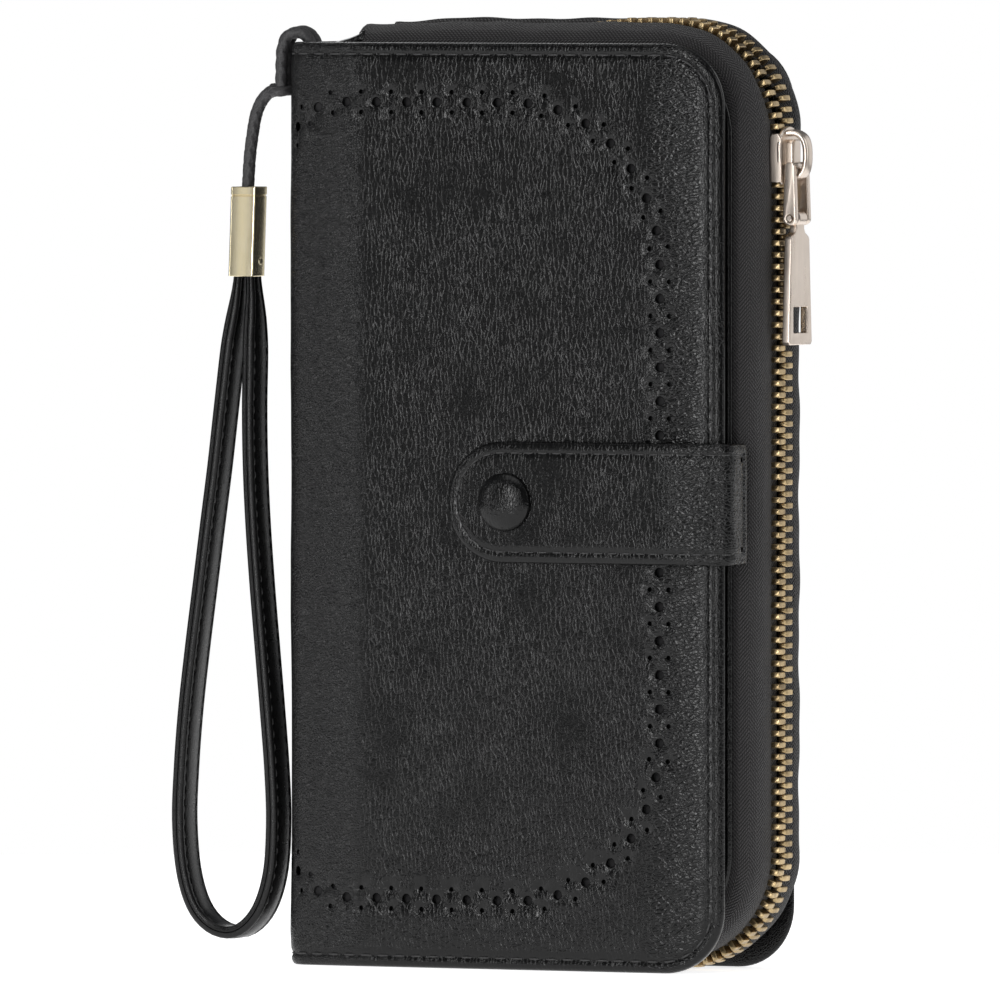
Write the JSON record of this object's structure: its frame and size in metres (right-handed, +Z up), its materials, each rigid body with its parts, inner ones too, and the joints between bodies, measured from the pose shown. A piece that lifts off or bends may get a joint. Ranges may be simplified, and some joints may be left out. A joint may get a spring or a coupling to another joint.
{
  "type": "wristlet wallet",
  "caption": "Long upright wallet with a snapped book cover, a zip-around pouch and a leather wrist strap on a short cord.",
  "frame": {"origin": "middle of the base of the standing wallet, without its hanging wristlet", "axes": "+Z up along the wallet's length, +X towards the zip side, -Y towards the front cover and its snap tab"},
  "size_m": [0.1398, 0.0432, 0.196],
  "materials": {
    "cover_leather": "black pebbled leather, semi-gloss, creased grain",
    "strap_leather": "black smooth leather, semi-gloss",
    "panel_leather": "black pebbled leather",
    "lining": "black lining cloth",
    "board": "grey board, hidden inside the covers",
    "zip_tape": "black woven herringbone tape",
    "zip_brass": "antique brass, bright on the crowns",
    "snap_metal": "antique brass",
    "slider_metal": "satin pale antique nickel",
    "clamp_gold": "polished pale gold",
    "cord": "black waxed braided cord"
  },
  "bodies": {
    "pouch": {"spine_leather": "cover_leather", "spine_board": "board", "back_cover_leather": "cover_leather", "back_cover_board": "board", "pouch_front_panel": "panel_leather", "pouch_back_panel": "panel_leather", "pouch_spine_gusset": "panel_leather", "pouch_divider_front": "lining", "pouch_divider_back": "lining", "zip_tape_front": "zip_tape", "zip_tape_back": "zip_tape", "zip_teeth_front": "zip_brass", "zip_teeth_back": "zip_brass", "zip_end_cap_top": "panel_leather", "zip_end_cap_bottom": "panel_leather", "tab_root": "cover_leather", "cord_anchor": "strap_leather", "cord_hitch": "cord"},
    "front_cover": {"front_cover_leather": "cover_leather", "front_cover_board": "board", "front_cover_lining": "lining", "card_pocket_1": "lining", "card_pocket_2": "lining", "card_pocket_3": "lining", "snap_stud": "snap_metal"},
    "snap_tab": {"tab_leather": "cover_leather", "tab_lining": "lining", "snap_cap": "cover_leather", "snap_socket": "snap_metal"},
    "zip_slider": {"slider_body": "slider_metal", "slider_bail": "slider_metal"},
    "pull_link": {"pull_link": "slider_metal", "pull_pin": "slider_metal"},
    "pull_tab": {"pull_tab": "slider_metal"},
    "wristlet": {"wrist_cord": "cord", "cord_clamp": "clamp_gold", "wrist_strap": "strap_leather"}
  },
  "joints": [
    {"name": "cover_hinge", "type": "hinge", "parent": "pouch", "child": "front_cover", "pos_m": [-0.0554, -0.01515, 0.0955], "axis": [0, 0, -1], "range_deg": [0, 175], "deforming": ["tab_leather", "tab_lining", "snap_cap", "snap_socket"]},
    {"name": "tab_hinge", "type": "hinge", "parent": "pouch", "child": "snap_tab", "pos_m": [0.0471, -0.01245, 0.0965], "axis": [0, 0, 1], "range_deg": [0, 160]},
    {"name": "zip_slide", "type": "slide", "parent": "pouch", "child": "zip_slider", "axis": [0, 0, -1], "range_m": [0, 0.136]},
    {"name": "pull_swing", "type": "hinge", "parent": "zip_slider", "child": "pull_link", "pos_m": [0.053, 0.00445, 0.1655], "axis": [0, -1, 0], "range_deg": [0, 100]},
    {"name": "pull_tab_swing", "type": "hinge", "parent": "pull_link", "child": "pull_tab", "pos_m": [0.053, 0.00445, 0.155], "axis": [0, -1, 0], "range_deg": [0, 70]},
    {"name": "wristlet_swing", "type": "hinge", "parent": "pouch", "child": "wristlet", "pos_m": [-0.0616, -0.00845, 0.1807], "axis": [0, 1, 0], "range_deg": [0, 110]}
  ]
}
